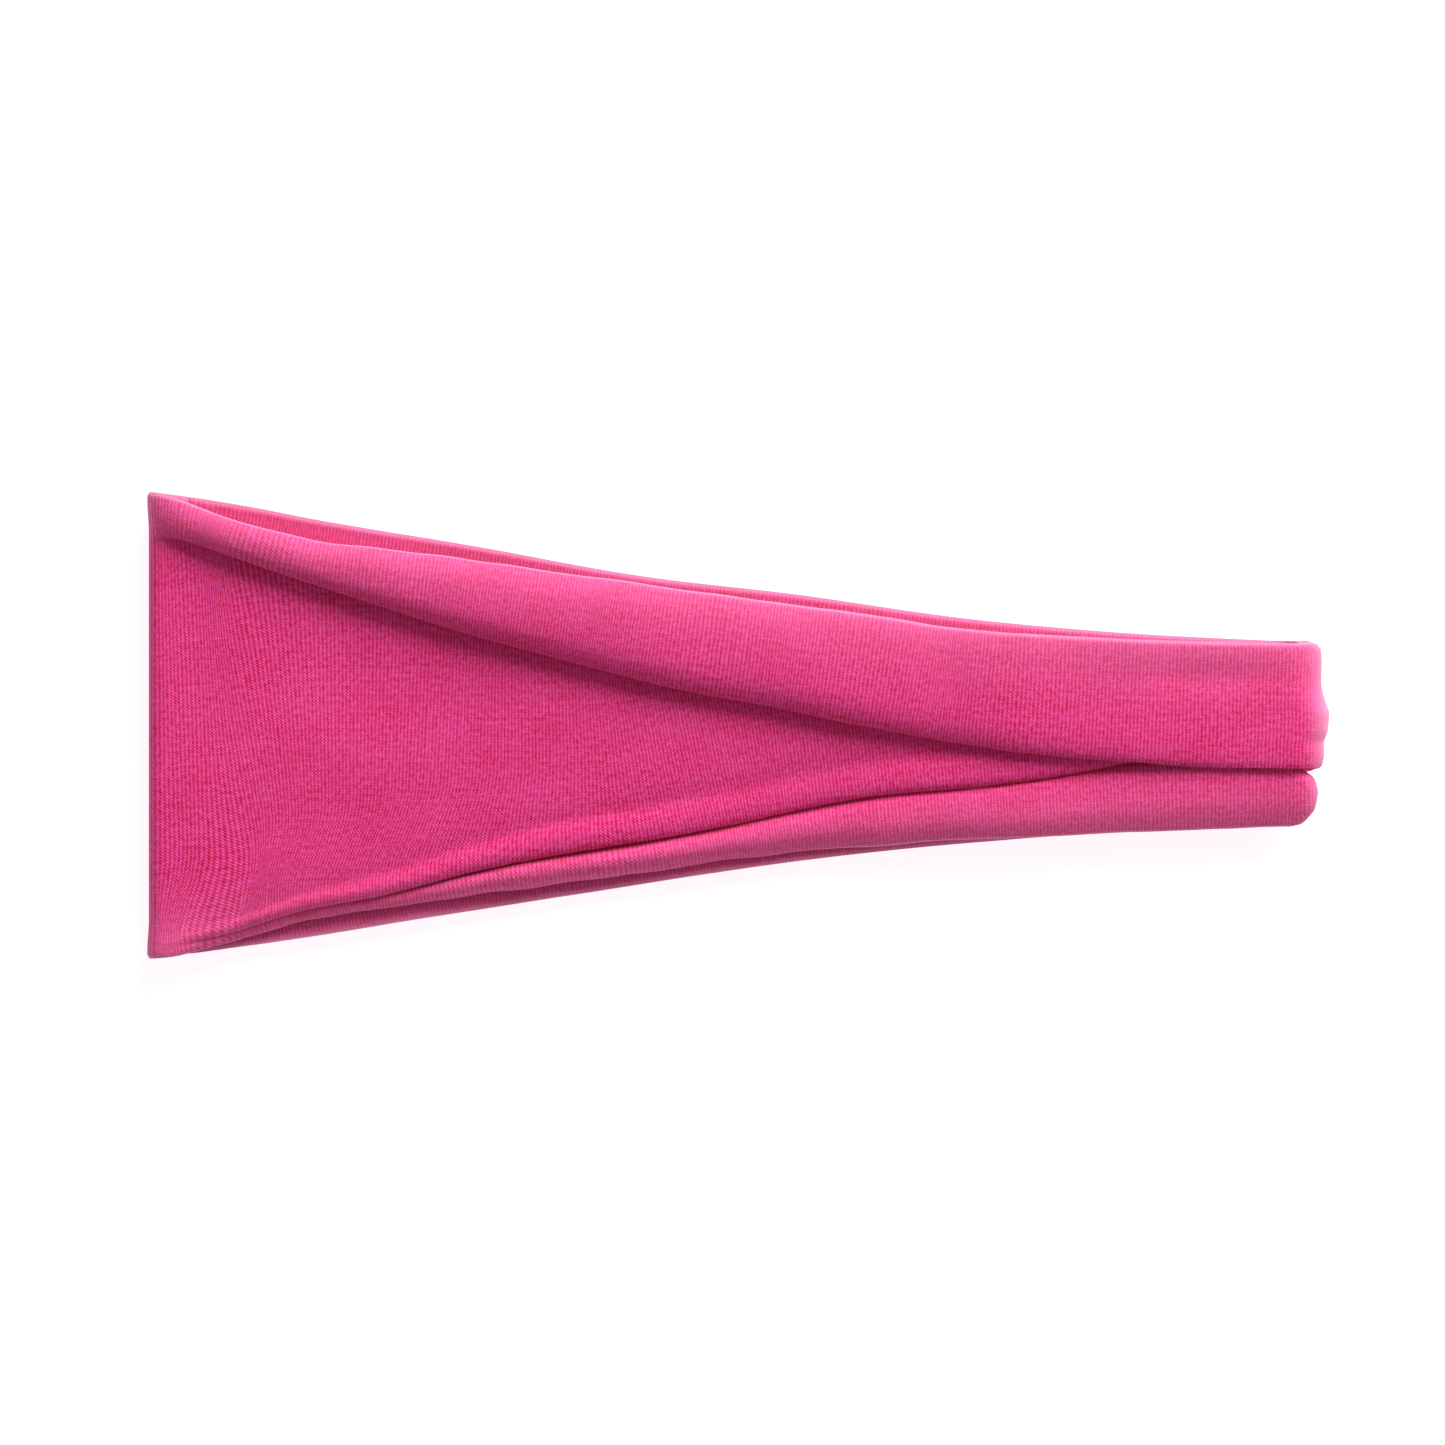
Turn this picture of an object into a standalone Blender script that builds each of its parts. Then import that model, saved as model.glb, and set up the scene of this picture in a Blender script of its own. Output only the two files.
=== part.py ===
"""A sports headband: a wide loop of double-ply jersey knit, laid flat.

The loop lies on its side. Its near half is on top, its far half is under it, and the two meet in a fold at the
left end and in another at the right end. At the left the band is spread to its whole width. Towards the right it
is pleated like a Z, twice, so it lies in five passes on top of each other.

X runs along the laid loop, Y across it and Z up. The lowest face lies at Z = 0, with the origin under the middle.
Everything is worked out in millimetres and turned into metres when a mesh is made.
"""

import functools
import math

import bpy
import numpy as np

MM = 0.001

# The cloth and the thread.
BAND_WIDTH = 95.6
PLY = 0.40
PLY_GAP = 0.30
THREAD = 0.35
THREAD_ROOM = 0.95
PASS_PITCH = 1.6

BAND_THICKNESS = 2 * PLY + PLY_GAP

# The laid loop. Under the hollow lie three passes of the band, and five where the pleats have met.
LEFT_X = -117.2
RIGHT_X = 111.4
LEFT_TURN = 2.2
HOLLOW = 5.6
HOLLOW_AT_BACK = 1.6
HOLLOW_CLOSES = (10.0, 60.0)
SEAM_X = -112.0
SEAM_SLIT = 0.3

# The pleats grow out of the flat cloth between these stations: their height first, then their depth.
PLEAT_RISES = (-119.5, -104.0)
PLEAT_DEEPENS = (-114.0, -96.0)

# Beside the crease, the tuck lies over the lower edge's seam at the left, and has left it behind further right.
SEAM_IN_TUCK = 2.3
TUCK_LEAVES_SEAM = (-30.0, 10.0)

# The panel climbs onto the tuck over a ramp, and a tight fold bends within its reach.
RAMP = 6.0
FOLD_REACH = 1.2

# Where the band's edges and folds run, as (x, y) points along the loop. The hidden fold follows from them. A tuck
# is the depth of the crease's pleat, and a flap roll is half the height of the flap's fold.
NEAR = {
    "upper_edge": [(-120, 47.3), (-109, 43.9), (-89, 37.8), (-28, 29.1), (33, 20.5), (74, 17.5), (118, 16.2)],
    "flap_fold": [(-120, 41.0), (-109, 36.4), (-89, 29.3), (-28, 11.0), (33, -2.0), (74, -7.3), (118, -9.2)],
    "crease": [(-120, -41.0), (-104, -38.4), (-89, -35.3), (-28, -24.8), (33, -14.4), (86, -7.1), (118, -3.5)],
    "tuck": [(-120, 0.2), (-108, 0.8), (-89, 2.8), (-72, 4.6), (-28, 6.2), (45, 5.6), (118, 6.0)],
    "lower_edge": [(-120, -47.5), (-104, -43.9), (-72, -36.8), (-20, -29.6), (33, -23.8), (62, -22.4), (118, -20.3)],
    "flap_roll": [(-120, 1.15), (-100, 1.6), (-60, 2.4), (0, 2.2), (60, 1.3), (118, 1.1)],
}
FAR = {
    "upper_edge": [(-120, 47.6), (-101, 44.7), (-52, 36.0), (13, 26.2), (45, 21.8), (78, 18.9), (118, 17.0)],
    "flap_fold": [(-120, 41.0), (-89, 34.0), (-28, 15.0), (33, -1.5), (74, -8.0), (118, -10.0)],
    "crease": [(-120, -41.0), (-89, -37.6), (-28, -26.0), (33, -16.0), (86, -9.0), (118, -6.0)],
    "tuck": [(-120, 0.2), (-108, 0.8), (-89, 2.5), (-28, 5.0), (45, 5.0), (118, 7.5)],
    "lower_edge": [(-120, -47.6), (-101, -45.0), (-52, -37.2), (13, -27.3), (45, -24.0), (78, -21.6), (118, -20.0)],
    "flap_roll": [(-120, 0.86), (118, 0.86)],
}


def ease(low, high, value):
    """Rise smoothly from 0 at low to 1 at high."""
    part = np.clip((value - low) / (high - low), 0.0, 1.0)
    return part * part * (3.0 - 2.0 * part)


def along(points, x):
    """Read a smooth curve through (x, value) points."""
    xs = np.array([point[0] for point in points], dtype=float)
    values = np.array([point[1] for point in points], dtype=float)
    slopes = np.gradient(values, xs)
    cell = int(np.clip(np.searchsorted(xs, x) - 1, 0, len(xs) - 2))
    span = xs[cell + 1] - xs[cell]
    part = np.clip((x - xs[cell]) / span, 0.0, 1.0)
    near_share = 2 * part**3 - 3 * part**2 + 1
    bend = (part**3 - 2 * part**2 + part) * slopes[cell] + (part**3 - part**2) * slopes[cell + 1]
    return near_share * values[cell] + (1 - near_share) * values[cell + 1] + span * bend


def hollow_height(x):
    return HOLLOW + (HOLLOW_AT_BACK - HOLLOW) * ease(*HOLLOW_CLOSES, x)


def middle_height(x):
    gaps_below = 2 + 2 * ease(*HOLLOW_CLOSES, x)
    return hollow_height(x) / 2 + BAND_THICKNESS + gaps_below * PASS_PITCH


def pleat_polygon(half, x, hidden_fold):
    """The control polygon of the band's cross-section, from its upper edge to its lower edge.

    Each point is (y, height above the middle of the hollow). The folded polygon runs down the flap, back up to
    the hidden fold, down the panel to the crease, up the tuck, and down the last pass.
    """
    upper = along(half["upper_edge"], x)
    flap = along(half["flap_fold"], x)
    crease = along(half["crease"], x)
    tuck = along(half["tuck"], x)
    lower = along(half["lower_edge"], x)
    roll = along(half["flap_roll"], x)
    inner = crease + tuck

    rim = (THREAD_ROOM - PLY_GAP) / 2
    crowded = half is NEAR
    floor = (hollow_height(x) + BAND_THICKNESS) / 2
    tucked = floor + PASS_PITCH + crowded * SEAM_IN_TUCK * rim * (1 - ease(*TUCK_LEAVES_SEAM, x))
    rolled = tucked + PASS_PITCH
    panel = floor + (rolled - floor) * ease(*HOLLOW_CLOSES, x)
    under = panel + PASS_PITCH
    over = under + 2 * roll
    edge = min(over, under + PASS_PITCH + crowded * 2 * rim) - (not crowded) * rim

    flap_depth = upper - flap
    return_depth = hidden_fold - flap
    round_in = min(1.4 * roll, 0.4 * return_depth)
    fold_in = min(FOLD_REACH, 0.3 * return_depth)
    tuck_in = 0.3 * tuck
    ramp = inner + RAMP
    folded = [
        (upper, edge),
        (upper - 0.15 * flap_depth, edge + 0.3 * (over - edge)),
        (upper - 0.45 * flap_depth, edge + 0.9 * (over - edge)),
        (upper - 0.75 * flap_depth, over),
        (flap + 0.7 * roll, over),
        (flap, over - 0.3 * roll),
        (flap, under + 0.3 * roll),
        (flap + round_in, under),
        (flap + 0.6 * return_depth, under),
        (hidden_fold - fold_in, under),
        (hidden_fold, under),
        (hidden_fold, panel),
        (hidden_fold - fold_in, panel),
        (hidden_fold + 0.33 * (ramp - hidden_fold), panel),
        (hidden_fold + 0.66 * (ramp - hidden_fold), panel),
        (ramp, panel),
        (inner + 0.25 * RAMP, panel + 0.9 * (rolled - panel)),
        (inner - tuck_in, rolled),
        (crease + tuck_in, rolled),
        (crease, rolled),
        (crease, tucked),
        (crease + tuck_in, tucked),
        (inner - tuck_in, tucked),
        (inner, tucked),
        (inner, floor),
        (inner - tuck_in, floor),
        (inner + 0.5 * (lower - inner), floor),
        (lower + 0.2 * (inner - lower), floor + rim),
        (lower, floor + rim),
    ]
    folded = np.array(folded)

    steps = np.linalg.norm(np.diff(folded, axis=0), axis=1)
    share = np.concatenate([[0.0], np.cumsum(steps)]) / steps.sum()
    flat = np.stack([upper + (lower - upper) * share, np.full(len(share), floor)], axis=1)
    blend = np.array([ease(*PLEAT_DEEPENS, x), ease(*PLEAT_RISES, x)])
    return flat + (folded - flat) * blend


def spline(polygon, places):
    """A cubic B-spline through both ends of a polygon, read at places from 0 to 1."""
    before = 2 * polygon[0] - polygon[1]
    after = 2 * polygon[-1] - polygon[-2]
    points = np.vstack([before, polygon, after])
    spans = len(points) - 3
    scaled = np.clip(np.asarray(places) * spans, 0.0, spans - 1e-9)
    cell = scaled.astype(int)
    part = (scaled - cell)[:, None]
    weights = [
        (1 - part) ** 3 / 6,
        (3 * part**3 - 6 * part**2 + 4) / 6,
        (-3 * part**3 + 3 * part**2 + 3 * part + 1) / 6,
        part**3 / 6,
    ]
    return sum(weight * points[cell + offset] for offset, weight in enumerate(weights))


# The cloth's stiffness: how far a sharp bend of the cross-section is spread along the cloth.
STIFFNESS = 0.6
CLOTH_STEP = 0.1
BISECTIONS = 24
FINE = np.linspace(0.0, 1.0, 601)


def relaxed(points):
    """Spread the bends of an evenly spaced run of points, as stiff cloth does, with both ends held."""
    reach = int(round(3 * STIFFNESS / CLOTH_STEP))
    offsets = np.arange(-reach, reach + 1)
    kernel = np.exp(-0.5 * (offsets * CLOTH_STEP / STIFFNESS) ** 2)
    kernel /= kernel.sum()
    before = 2 * points[0] - points[reach:0:-1]
    after = 2 * points[-1] - points[-2:-reach - 2:-1]
    padded = np.vstack([before, points, after])
    return np.stack([np.convolve(padded[:, axis], kernel, mode="valid") for axis in (0, 1)], axis=1)


def cloth_curve(polygon):
    """The cross-section of the cloth: its points, and the length of cloth from the upper edge to each."""
    rough = spline(polygon, FINE)
    steps = np.linalg.norm(np.diff(rough, axis=0), axis=1)
    run = np.concatenate([[0.0], np.cumsum(steps)])
    even = np.linspace(0.0, run[-1], int(run[-1] / CLOTH_STEP))
    smooth = relaxed(np.stack([np.interp(even, run, rough[:, axis]) for axis in (0, 1)], axis=1))
    points = np.stack([np.interp(run, even, smooth[:, axis]) for axis in (0, 1)], axis=1)
    steps = np.linalg.norm(np.diff(points, axis=0), axis=1)
    return points, np.concatenate([[0.0], np.cumsum(steps)])


def solve_hidden_fold(half, x):
    """Place the hidden fold so that the pleated cross-section is as long as the cloth is wide."""
    low = along(half["flap_fold"], x) + 0.3
    high = along(half["upper_edge"], x) - 0.6
    for _ in range(BISECTIONS):
        middle = (low + high) / 2
        if cloth_curve(pleat_polygon(half, x, middle))[1][-1] < BAND_WIDTH:
            low = middle
        else:
            high = middle
    return (low + high) / 2


FOLD_STATIONS = np.linspace(LEFT_X - 3, RIGHT_X + 4, 24)
for HALF in (NEAR, FAR):
    HALF["hidden_fold"] = [(x, solve_hidden_fold(HALF, x)) for x in FOLD_STATIONS]


@functools.lru_cache(maxsize=None)
def cross_section(near, x):
    half = NEAR if near else FAR
    return cloth_curve(pleat_polygon(half, x, along(half["hidden_fold"], x)))


def read_section(near, x, places):
    """The (y, height) of places from 0 to 1 on the cross-section of a half at x."""
    points = cross_section(near, x)[0]
    return np.stack([np.interp(places, FINE, points[:, axis]) for axis in (0, 1)], axis=1)


# How far round the right end each place of the cross-section reaches: the corner by the upper edge is rounded
# off, and the last pass comes out past the flap's fold, where nothing covers it.
CORNER_PULL = 1.2
CORNER = (13.5, 17.0)
LAST_PASS_REACH = 4.0
LAST_PASS = (0.78, 0.84)
CLEAR_OF_FLAP = (-10.0, -13.5)
LOWER_CORNER = (-16.0, -20.3)
REACH_BEGINS = 0.88


def right_reach(places, y):
    corner = ease(*CORNER, y)
    uncovered = ease(*LAST_PASS, places) * ease(*CLEAR_OF_FLAP, y)
    outline = 1 - 0.6 * ease(*LOWER_CORNER, y)
    return -CORNER_PULL * corner + LAST_PASS_REACH * uncovered * outline


def band_points(turn, places):
    """Points of the band's middle surface at one station of the loop.

    turn counts round the loop: 0 to 1 is the left turn from far to near, 1 to 2 the near half, 2 to 3 the right
    turn, and 3 to 4 the far half.
    """
    turn = turn % 4
    if turn < 1 or 2 <= turn < 3:
        at_right = turn >= 2
        x = RIGHT_X if at_right else LEFT_X
        near = read_section(True, x, places)
        far = read_section(False, x, places)
        angle = math.pi * ((turn - 2) if at_right else (1 - turn))
        share = (1 - math.cos(angle)) / 2
        y = near[:, 0] + (far[:, 0] - near[:, 0]) * share
        height = near[:, 1] * (1 - share) + far[:, 1] * share
        z = middle_height(x) + height * math.cos(angle)
        if at_right:
            xs = x + right_reach(places, y) + height * math.sin(angle)
        else:
            xs = np.full(len(places), x - LEFT_TURN * math.sin(angle))
        return np.stack([xs, y, z], axis=1)
    on_near = turn < 2
    share = turn - 1 if on_near else 4 - turn
    x = LEFT_X + (RIGHT_X - LEFT_X) * share
    section = read_section(on_near, x, places)
    side = 1 if on_near else -1
    xs = x + right_reach(places, section[:, 0]) * ease(REACH_BEGINS, 1.0, share)
    return np.stack([xs, section[:, 0], middle_height(x) + side * section[:, 1]], axis=1)


def seam_turn(x):
    """The station on the far half at x."""
    return 4 - (x - LEFT_X) / (RIGHT_X - LEFT_X)


NUDGE = 1e-4
NUDGE_ACROSS = 1e-3


def band_frame(turn, places):
    """Middle-surface points and the normals that point out of the loop."""
    points = band_points(turn, places)
    round_loop = band_points(turn + NUDGE, places) - band_points(turn - NUDGE, places)
    ahead = np.clip(places + NUDGE_ACROSS, 0, 1)
    behind = np.clip(places - NUDGE_ACROSS, 0, 1)
    across = band_points(turn, ahead) - band_points(turn, behind)
    normals = np.cross(across, round_loop)
    normals /= np.linalg.norm(normals, axis=1)[:, None]
    return points, normals


def cloth_run(turn):
    """The length of cloth from the upper edge to each fine place, at one station."""
    turn = turn % 4
    share = {0: 0.0, 1: turn - 1, 2: 1.0, 3: 4 - turn}[int(turn)]
    x = LEFT_X + (RIGHT_X - LEFT_X) * share
    return cross_section(turn < 3, x)[1]


def loop_stations():
    """Stations round the loop, from one side of the end seam to the other.

    They stand close together in the turns, beside the seam, and where the pleats begin.
    """
    half_slit = SEAM_SLIT / 2
    after_seam = [SEAM_X - half_slit, SEAM_X - 1.7, SEAM_X - 3.4]
    before_seam = [SEAM_X + 6.0, SEAM_X + 3.4, SEAM_X + 1.7, SEAM_X + half_slit]
    stations = [seam_turn(x) - 4 for x in after_seam]
    stations += list(np.linspace(0, 1, 6))
    stations += [1.012, 1.028, 1.044, 1.06, 1.08]
    stations += list(np.linspace(1.12, 2, 10))
    stations += list(np.linspace(2, 3, 7)[1:])
    stations += list(np.linspace(3, 3.92, 9)[1:])
    stations += [seam_turn(x) for x in before_seam]
    return stations


LOOPER_DEPTH = 1.1
NEEDLE_DEPTH = 2.4
EDGE_STEPS = np.array([0.0, LOOPER_DEPTH, NEEDLE_DEPTH, 3.2, 4.4])
MIDDLE_PLACES = 29


def cloth_places(turn):
    """Places across the band: a few along each seamed edge, and the rest spread over the folds."""
    lengths = cloth_run(turn)
    upper = np.interp(EDGE_STEPS, lengths, FINE)
    lower = np.interp(lengths[-1] - EDGE_STEPS[::-1], lengths, FINE)
    middle = np.linspace(upper[-1], lower[0], MIDDLE_PLACES + 2)[1:-1]
    places = np.concatenate([upper, middle, lower])
    return places, np.interp(places, FINE, lengths), lengths[-1]


# A seam's bulge: how far from the edge it swells and dies away, and how far from the end seam it dies away.
EDGE_SWELLS = (0.0, 0.8)
EDGE_SUBSIDES = (2.7, 4.3)
END_SUBSIDES = (1.7, 3.5)


def ply_offset(turn, lengths, width):
    """From the band's middle to the middle of a ply: more where a seam lies between the plies."""
    from_edge = np.minimum(lengths, width - lengths)
    edge = ease(*EDGE_SWELLS, from_edge) * (1 - ease(*EDGE_SUBSIDES, from_edge))
    x = LEFT_X + (RIGHT_X - LEFT_X) * (4 - turn % 4)
    seam = 1 - ease(*END_SUBSIDES, abs(x - SEAM_X)) if turn % 4 > 3 else 0.0
    return (PLY + PLY_GAP) / 2 + (THREAD_ROOM - PLY_GAP) / 2 * np.maximum(edge, seam)


def make_material(name, color, roughness):
    material = bpy.data.materials.new(name)
    material.use_nodes = True
    shader = material.node_tree.nodes["Principled BSDF"]
    shader.inputs["Base Color"].default_value = (*color, 1.0)
    shader.inputs["Roughness"].default_value = roughness
    shader.inputs["Metallic"].default_value = 0.0
    return material


def add_mesh(name, points, faces, material):
    mesh = bpy.data.meshes.new(name)
    mesh.from_pydata([tuple(point * MM) for point in points], [], faces)
    mesh.materials.append(material)
    mesh.shade_smooth()
    mesh.set_sharp_from_angle(angle=math.radians(60))
    piece = bpy.data.objects.new(name, mesh)
    bpy.context.scene.collection.objects.link(piece)
    return piece


def make_ply(name, side, material):
    """One ply of the band, outside (side 1) or inside (side -1) the middle surface."""
    points = []
    stations = loop_stations()
    for turn in stations:
        places, lengths, width = cloth_places(turn)
        middle, normals = band_frame(turn, places)
        ply = middle + side * ply_offset(turn, lengths, width)[:, None] * normals
        ply[:, 2] = np.maximum(ply[:, 2], PLY / 2)
        points.extend(ply)
    across = len(places)
    faces = []
    for station in range(len(stations) - 1):
        for place in range(across - 1):
            corner = station * across + place
            faces.append((corner, corner + 1, corner + across + 1, corner + across))
    piece = add_mesh(name, points, faces, material)
    thickness = piece.modifiers.new("cloth_thickness", "SOLIDIFY")
    thickness.thickness = PLY * MM
    thickness.offset = 0.0
    return piece


# The end seam's threads run beside the slit and stop short of the edge seams. The lining's seam leaves a gap, by
# which the band was turned right side out, and the closing stitch shuts it.
THREAD_SIDES = 6
SEAM_THREAD_INSET = 0.9
SEAM_ENDS = 3.0
TURNING_GAP = (40.0, 80.0)


def make_thread(name, path, normals, material):
    """A round thread along a path that lies on the band, with flat ends."""
    points = []
    for index, point in enumerate(path):
        before = path[max(index - 1, 0)]
        after = path[min(index + 1, len(path) - 1)]
        heading = (after - before) / np.linalg.norm(after - before)
        sideways = np.cross(heading, normals[index])
        sideways /= np.linalg.norm(sideways)
        upwards = np.cross(sideways, heading)
        for side in range(THREAD_SIDES):
            angle = 2 * math.pi * side / THREAD_SIDES
            ring = math.cos(angle) * sideways + math.sin(angle) * upwards
            points.append(point + THREAD / 2 * ring)
    faces = []
    for index in range(len(path) - 1):
        for side in range(THREAD_SIDES):
            here = index * THREAD_SIDES + side
            beside = index * THREAD_SIDES + (side + 1) % THREAD_SIDES
            faces.append((here, here + THREAD_SIDES, beside + THREAD_SIDES, beside))
    faces.append(tuple(range(THREAD_SIDES)))
    last = (len(path) - 1) * THREAD_SIDES
    faces.append(tuple(reversed(range(last, last + THREAD_SIDES))))
    return add_mesh(name, points, faces, material)


def make_edge_thread(name, from_upper, depth, material):
    """A thread all the way round the loop, a set depth inside one edge."""
    path = []
    normals = []
    for turn in loop_stations():
        lengths = cloth_run(turn)
        wanted = depth if from_upper else lengths[-1] - depth
        point, normal = band_frame(turn, np.interp([wanted], lengths, FINE))
        path.append(point[0])
        normals.append(normal[0])
    return make_thread(name, path, normals, material)


def make_end_thread(name, x, start, end, material):
    """A thread of the end seam: across the band at x, from one depth to another."""
    turn = seam_turn(x)
    places, lengths, width = cloth_places(turn)
    kept = places[(lengths >= start) & (lengths <= min(end, width - SEAM_ENDS))]
    path, normals = band_frame(turn, kept)
    return make_thread(name, path, normals, material)


def build():
    for leftover in list(bpy.data.objects):
        bpy.data.objects.remove(leftover, do_unlink=True)
    face_jersey = make_material("face_jersey", (0.76, 0.045, 0.20), 0.85)
    lining_jersey = make_material("lining_jersey", (0.74, 0.043, 0.19), 0.85)
    sewing_thread = make_material("sewing_thread", (0.70, 0.04, 0.18), 0.6)

    make_ply("outer_panel", 1, face_jersey)
    make_ply("lining_panel", -1, lining_jersey)

    for edge, from_upper in (("upper", True), ("lower", False)):
        make_edge_thread(f"{edge}_edge_looper_thread", from_upper, LOOPER_DEPTH, sewing_thread)
        make_edge_thread(f"{edge}_edge_needle_thread", from_upper, NEEDLE_DEPTH, sewing_thread)

    outer_x = SEAM_X - SEAM_THREAD_INSET
    lining_x = SEAM_X + SEAM_THREAD_INSET
    make_end_thread("outer_end_seam_thread", outer_x, SEAM_ENDS, BAND_WIDTH, sewing_thread)
    make_end_thread("lining_end_seam_thread", lining_x, SEAM_ENDS, TURNING_GAP[0], sewing_thread)
    make_end_thread("closing_stitch_thread", lining_x, *TURNING_GAP, sewing_thread)


build()
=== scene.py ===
"""The looks of a sports headband: a wide loop of double-ply jersey, laid flat, its right end pleated.

The sections follow the object as it is sewn: the outer ply, the lining, the threads that join them along both
edges, the threads of the end seam, and then the floor, the lights and the camera. Lengths are in millimetres
until a mesh is made, and X runs along the laid loop, Y across it and Z up.
"""

import math

import bpy
import numpy as np
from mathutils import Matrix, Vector, noise


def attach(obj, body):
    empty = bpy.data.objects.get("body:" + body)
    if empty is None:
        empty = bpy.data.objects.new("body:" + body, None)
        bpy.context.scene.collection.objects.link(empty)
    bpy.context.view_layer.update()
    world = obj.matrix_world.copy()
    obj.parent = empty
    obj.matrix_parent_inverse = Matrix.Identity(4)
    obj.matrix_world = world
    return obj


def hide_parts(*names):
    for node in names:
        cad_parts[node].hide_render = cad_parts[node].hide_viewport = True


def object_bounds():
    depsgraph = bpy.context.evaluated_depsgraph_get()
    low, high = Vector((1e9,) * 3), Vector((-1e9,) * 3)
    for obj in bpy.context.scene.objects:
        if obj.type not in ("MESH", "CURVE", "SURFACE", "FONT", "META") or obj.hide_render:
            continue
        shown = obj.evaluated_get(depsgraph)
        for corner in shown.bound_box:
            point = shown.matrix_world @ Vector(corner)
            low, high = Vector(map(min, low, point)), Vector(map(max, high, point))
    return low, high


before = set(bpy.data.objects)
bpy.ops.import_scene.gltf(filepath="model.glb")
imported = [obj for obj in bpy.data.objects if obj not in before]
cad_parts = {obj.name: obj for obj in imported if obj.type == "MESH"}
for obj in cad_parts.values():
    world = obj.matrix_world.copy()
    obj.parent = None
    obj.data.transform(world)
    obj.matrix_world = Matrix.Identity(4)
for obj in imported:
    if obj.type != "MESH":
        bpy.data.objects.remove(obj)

cad_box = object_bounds()

# ---------------------------------------------------------------------------------------------- the outer ply
# The ply that shows. It is a strip of fine cotton and elastane jersey, 480 mm long and knitted with its
# wales across the band, so that it stretches round the head. It is closed into a loop by the end seam, and
# sewn to the lining along both edges. Here the flat strip is laid into the folds that it lies in.
MM = 0.001
LOOP_LENGTH = 480.0
BAND_WIDTH = 95.6
PLY = 0.40
PLY_GAP = 0.30
SEAM_ROOM = 0.95
PASS_PITCH = 1.6
BAND_THICKNESS = 2 * PLY + PLY_GAP

# The laid loop: its near half is on top, its far half under it, and the head's room between them closes
# towards the right, where the pleats meet.
LEFT_X = -116.9
RIGHT_X = 111.4
LEFT_TURN = 2.2
HOLLOW = 5.6
HOLLOW_AT_BACK = 1.6
HOLLOW_CLOSES = (10.0, 60.0)
SEAM_X = -112.0

# The pleats grow out of the flat cloth at the left end as its spare width grows: first they rise, from a soft
# swell up to what their folds take up, and then they deepen.
FIRST_FOLD = 0.4
FIRST_SLOPE = 7.0
ROLL_TAKES = 5.2
FLAP_TAKES = 8.0

# The near half sinks towards its lower edge, which rests on the far half. The panel dips beside the tuck's
# roll, the roll and the last pass swell, and towards the right end the last pass comes up beside the flap.
SINKS = (-117.0, -98.0)
SINK = 4.0
SINK_AT_BACK = 0.8
TUCK_PITCH = 1.3
TUCK_CLEARS_SEAM = 2.3
TUCK_CLEARS_UNTIL = (-30, 10)
TUCK_SHORTER = 1.0
RAMP_REACHES = 3.8
PANEL_DIPS = 1.35
PANEL_RISES = (36.0, 58.0)
ROLL_SWELLS = 0.5
LAST_PASS_LOWER = 0.15
LAST_PASS_WIDTH = 6.0
LAST_PASS_COMES_UP = (50.0, 95.0)
FAR_EDGE_CURLS = 0.8

# Where the edges and folds run, as (x, value) points along the loop. The hidden fold follows from the others.
NEAR = {
    "upper_edge": [
        (-120, 47.6), (-114, 45.9), (-103, 41.7), (-89, 37.9), (-60, 33.9), (-28, 29.5), (0, 25.6),
        (25, 22.3), (45, 19.4), (74, 17.6), (118, 16.3),
    ],
    "flap_fold": [
        (-120, 40.5), (-114, 38.4), (-89, 29.9), (-56, 19.4), (-28, 11.6), (-8, 6.7), (9, 3.7), (25, 0.3),
        (41, -2.7), (58, -5.4), (74, -7.0), (102, -8.8), (118, -9.2),
    ],
    "crease": [
        (-120, -46.4), (-106, -42.2), (-89, -37.4), (-72, -34.3), (-49, -28.6), (-10, -22.0), (33, -13.7),
        (45, -12.7), (70, -9.5), (86, -6.4), (118, -3.0),
    ],
    "lower_edge": [
        (-120, -47.6), (-115, -47.1), (-104, -43.9), (-89, -39.5), (-72, -36.9), (-45, -32.9), (-20, -29.8),
        (3, -26.6), (33, -24.0), (62, -22.4), (118, -20.2),
    ],
    "most_tuck": [(-120, 6.2), (-42, 6.2), (-10, 6.0), (118, 6.0)],
    "flap_roll": [(-120, 1.6), (-100, 2.0), (-60, 2.6), (0, 2.5), (60, 1.6), (90, 0.9), (118, 0.55)],
}
FAR = {
    "upper_edge": [
        (-120, 47.7), (-101, 44.9), (-85, 41.8), (-52, 36.3), (-20, 30.5), (13, 26.6), (45, 22.0), (78, 18.9),
        (118, 16.9),
    ],
    "flap_fold": [(-120, 41.0), (-89, 34.0), (-28, 15.0), (33, -1.5), (74, -8.0), (118, -10.0)],
    "crease": [(-120, -43.0), (-89, -37.6), (-28, -26.0), (33, -16.0), (86, -9.0), (118, -6.0)],
    "lower_edge": [
        (-120, -47.7), (-101, -45.2), (-85, -42.8), (-52, -37.5), (-20, -32.5), (13, -27.7), (45, -24.2),
        (78, -21.7), (118, -19.9),
    ],
    "most_tuck": [(-120, 5.0), (45, 5.0), (118, 7.5)],
    "flap_roll": [(-120, 0.86), (118, 0.86)],
}


def ease(low, high, value):
    """Rise smoothly from 0 at low to 1 at high."""
    part = np.clip((value - low) / (high - low), 0.0, 1.0)
    return part * part * (3.0 - 2.0 * part)


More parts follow.
